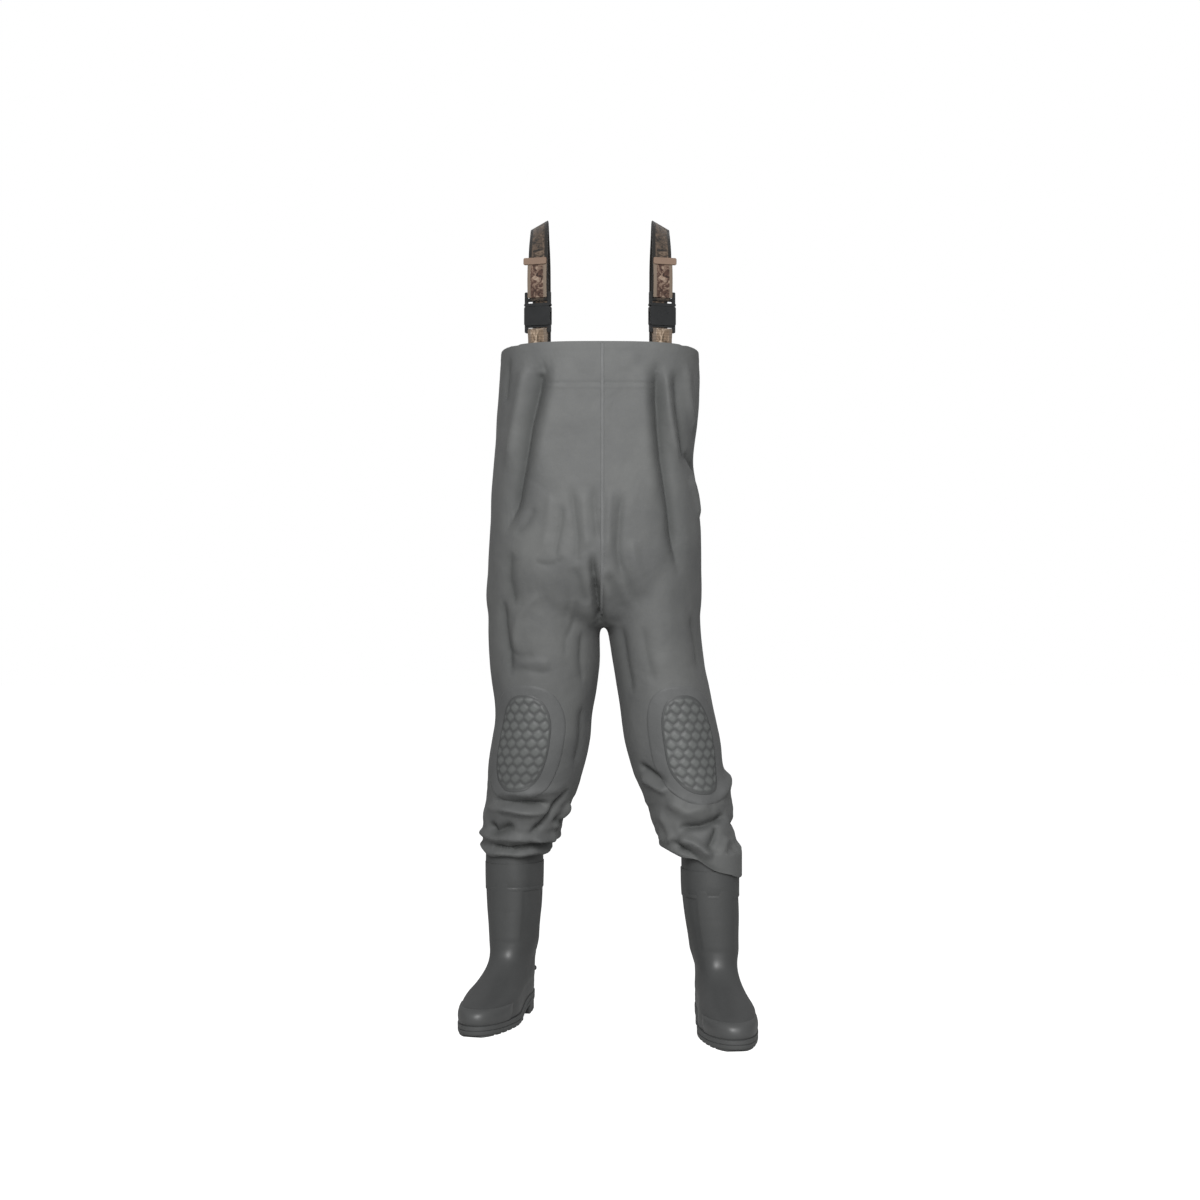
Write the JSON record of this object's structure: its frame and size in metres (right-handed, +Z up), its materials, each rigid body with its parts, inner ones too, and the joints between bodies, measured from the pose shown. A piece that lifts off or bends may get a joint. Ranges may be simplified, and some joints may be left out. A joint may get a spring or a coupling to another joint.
{
  "type": "chest waders",
  "caption": "Standing chest waders: a high bib and legs of coated cloth, padded knees, moulded rubber boots joined to the legs, and webbing braces with side release buckles.",
  "frame": {"origin": "on the ground, under the middle of the whole object's bounding box", "axes": "+Z up along the wearer's height; the wearer faces -Y and the wearer's left is +X"},
  "size_m": [0.4856, 0.4462, 1.423],
  "materials": {
    "coated_cloth": "semi-matt PVC coated polyester",
    "seam_weld": "welded PVC tape",
    "patch_cloth": "matt PVC coated cloth",
    "knee_padding": "padded, embossed",
    "boot_shell": "semi-gloss moulded PVC",
    "boot_sole": "matt moulded PVC",
    "lining": "knitted nylon",
    "webbing": "woven, dark edges and a brown mottled middle",
    "buckle_plastic": "moulded acetal"
  },
  "bodies": {
    "trunk": {"front_centre_seam": "seam_weld", "back_centre_seam": "seam_weld", "inner_pocket": "patch_cloth", "back_cross_strap": "webbing", "right_body_panel": "coated_cloth", "right_hip_cloth": "coated_cloth", "right_front_anchor": "patch_cloth", "right_back_anchor": "patch_cloth", "right_front_strap": "webbing", "right_buckle_socket": "buckle_plastic", "right_shoulder_strap": "webbing", "left_body_panel": "coated_cloth", "left_hip_cloth": "coated_cloth", "left_front_anchor": "patch_cloth", "left_back_anchor": "patch_cloth", "left_front_strap": "webbing", "left_buckle_socket": "buckle_plastic", "left_shoulder_strap": "webbing"},
    "right_thigh": {"right_thigh_panel": "coated_cloth", "right_knee_cloth": "coated_cloth", "right_knee_patch": "patch_cloth", "right_knee_pad": "knee_padding"},
    "right_lower_leg": {"right_shin_panel": "coated_cloth", "right_boot_cuff": "seam_weld", "right_boot_upper": "boot_shell", "right_boot_lining": "lining", "right_insole": "lining", "right_outsole": "boot_sole", "right_toe_cap": "boot_shell", "right_heel_spur": "boot_sole"},
    "right_plug": {"right_buckle_plug": "buckle_plastic"},
    "right_outer_prong": {"right_outer_prong": "buckle_plastic"},
    "right_inner_prong": {"right_inner_prong": "buckle_plastic"},
    "right_tail": {"right_strap_tail": "webbing", "right_tail_stop": "webbing"},
    "left_thigh": {"left_thigh_panel": "coated_cloth", "left_knee_cloth": "coated_cloth", "left_knee_patch": "patch_cloth", "left_knee_pad": "knee_padding"},
    "left_lower_leg": {"left_shin_panel": "coated_cloth", "left_boot_cuff": "seam_weld", "left_boot_upper": "boot_shell", "left_boot_lining": "lining", "left_insole": "lining", "left_outsole": "boot_sole", "left_toe_cap": "boot_shell", "left_heel_spur": "boot_sole"},
    "left_plug": {"left_buckle_plug": "buckle_plastic"},
    "left_outer_prong": {"left_outer_prong": "buckle_plastic"},
    "left_inner_prong": {"left_inner_prong": "buckle_plastic"},
    "left_tail": {"left_strap_tail": "webbing", "left_tail_stop": "webbing"}
  },
  "joints": [
    {"name": "right_hip", "type": "hinge", "parent": "trunk", "child": "right_thigh", "pos_m": [-0.11048, 0.06181, 0.704], "axis": [-1, 0, 0], "range_deg": [-10, 35], "deforming": ["right_hip_cloth"]},
    {"name": "right_knee", "type": "hinge", "parent": "right_thigh", "child": "right_lower_leg", "pos_m": [-0.11648, 0.07481, 0.488], "axis": [1, 0, 0], "range_deg": [0, 50], "deforming": ["right_knee_cloth", "right_knee_patch", "right_knee_pad"]},
    {"name": "right_plug_slide", "type": "slide", "parent": "trunk", "child": "right_plug", "axis": [0, 0, 1], "range_m": [0, 0.045], "deforming": ["right_shoulder_strap"]},
    {"name": "right_outer_prong_squeeze", "type": "hinge", "parent": "right_plug", "child": "right_outer_prong", "pos_m": [-0.13369, -0.01699, 1.2495], "axis": [-0.3108, -0.9505, 0], "range_deg": [0, 8], "stiffness_Nm_per_rad": 0.02},
    {"name": "right_inner_prong_squeeze", "type": "hinge", "parent": "right_plug", "child": "right_inner_prong", "pos_m": [-0.10327, -0.02693, 1.2495], "axis": [0.3108, 0.9505, 0], "range_deg": [0, 8], "stiffness_Nm_per_rad": 0.02},
    {"name": "right_tail_slide", "type": "slide", "parent": "right_plug", "child": "right_tail", "axis": [0, 0, 1], "range_m": [0, 0.04]},
    {"name": "left_hip", "type": "hinge", "parent": "trunk", "child": "left_thigh", "pos_m": [0.08752, 0.05981, 0.704], "axis": [-1, 0, 0], "range_deg": [-10, 35], "deforming": ["left_hip_cloth"]},
    {"name": "left_knee", "type": "hinge", "parent": "left_thigh", "child": "left_lower_leg", "pos_m": [0.11852, 0.04581, 0.488], "axis": [1, 0, 0], "range_deg": [0, 50], "deforming": ["left_knee_cloth", "left_knee_patch", "left_knee_pad"]},
    {"name": "left_plug_slide", "type": "slide", "parent": "trunk", "child": "left_plug", "axis": [0, 0, 1], "range_m": [0, 0.045], "deforming": ["left_shoulder_strap"]},
    {"name": "left_outer_prong_squeeze", "type": "hinge", "parent": "left_plug", "child": "left_outer_prong", "pos_m": [0.11273, -0.01699, 1.2495], "axis": [-0.3108, 0.9505, 0], "range_deg": [0, 8], "stiffness_Nm_per_rad": 0.02},
    {"name": "left_inner_prong_squeeze", "type": "hinge", "parent": "left_plug", "child": "left_inner_prong", "pos_m": [0.08231, -0.02693, 1.2495], "axis": [0.3108, -0.9505, 0], "range_deg": [0, 8], "stiffness_Nm_per_rad": 0.02},
    {"name": "left_tail_slide", "type": "slide", "parent": "left_plug", "child": "left_tail", "axis": [0, 0, 1], "range_m": [0, 0.04]}
  ],
  "couplings": [
    {"joint": "right_inner_prong_squeeze", "follows": "right_outer_prong_squeeze", "ratio": 1},
    {"joint": "left_inner_prong_squeeze", "follows": "left_outer_prong_squeeze", "ratio": 1}
  ]
}
